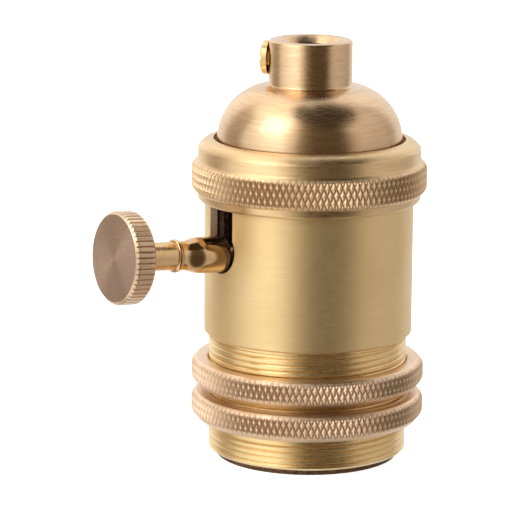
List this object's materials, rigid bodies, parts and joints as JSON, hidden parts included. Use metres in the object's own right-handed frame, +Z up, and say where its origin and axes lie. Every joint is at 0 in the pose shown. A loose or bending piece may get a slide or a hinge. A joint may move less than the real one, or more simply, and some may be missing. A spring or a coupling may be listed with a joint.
{
  "type": "lamp holder",
  "caption": "Upright brass lamp holder with a domed cap, knurled retaining ring, turn-knob switch, threaded skirt and shade rings, for a screw-in bulb.",
  "frame": {"origin": "centre of the liner's rim, on the axis of the holder, where it stands", "axes": "+Z up along the axis, from the bulb's mouth to the cord entry; -Y towards the switch knob"},
  "size_m": [0.045, 0.0658, 0.0806],
  "materials": {
    "sleeve_brass": "satin, fine brushing round the sleeve",
    "turned_brass": "satin turned cap",
    "knurled_brass": "diamond knurled band, turned edges",
    "knob_brass": "turned face, straight knurled edge",
    "bright_brass": "polished screws",
    "contact_brass": "pressed and rolled strip",
    "brown_phenolic": "moulded, dark reddish brown",
    "black_phenolic": "moulded, black",
    "white_porcelain": "glazed",
    "plated_steel": "zinc plated"
  },
  "bodies": {
    "holder": {"body_sleeve": "sleeve_brass", "cap_dome": "turned_brass", "insulating_liner": "brown_phenolic", "grip_screw": "bright_brass", "earth_tag": "contact_brass", "earth_screw": "plated_steel", "contact_base": "white_porcelain", "screw_shell": "contact_brass", "center_contact": "contact_brass", "center_rivet": "contact_brass", "load_contact": "contact_brass", "switch_housing": "black_phenolic", "housing_cover": "black_phenolic", "housing_screws": "plated_steel", "live_terminal": "contact_brass", "neutral_terminal": "contact_brass", "live_terminal_screw": "bright_brass", "neutral_terminal_screw": "plated_steel", "spindle_bush": "contact_brass", "detent_spring": "plated_steel"},
    "knob": {"switch_knob": "knob_brass", "switch_spindle": "plated_steel", "spindle_clip": "plated_steel", "switch_rotor": "black_phenolic", "contact_blades": "contact_brass"},
    "clamp_ring": {"retaining_ring": "knurled_brass"},
    "upper_ring": {"upper_shade_ring": "knurled_brass"},
    "lower_ring": {"lower_shade_ring": "knurled_brass"}
  },
  "joints": [
    {"name": "knob_turn", "type": "hinge", "parent": "holder", "child": "knob", "pos_m": [0, 0, 0.0397], "axis": [0, -0.9974, 0.0715], "continuous": true},
    {"name": "retaining_ring_lift", "type": "slide", "parent": "holder", "child": "clamp_ring", "axis": [0, 0, 1], "range_m": [0, 0.032]},
    {"name": "upper_ring_travel", "type": "slide", "parent": "holder", "child": "upper_ring", "axis": [0, 0, 1], "range_m": [-0.0006, 0.004]},
    {"name": "lower_ring_travel", "type": "slide", "parent": "holder", "child": "lower_ring", "axis": [0, 0, 1], "range_m": [-0.0062, 0.0006]}
  ]
}
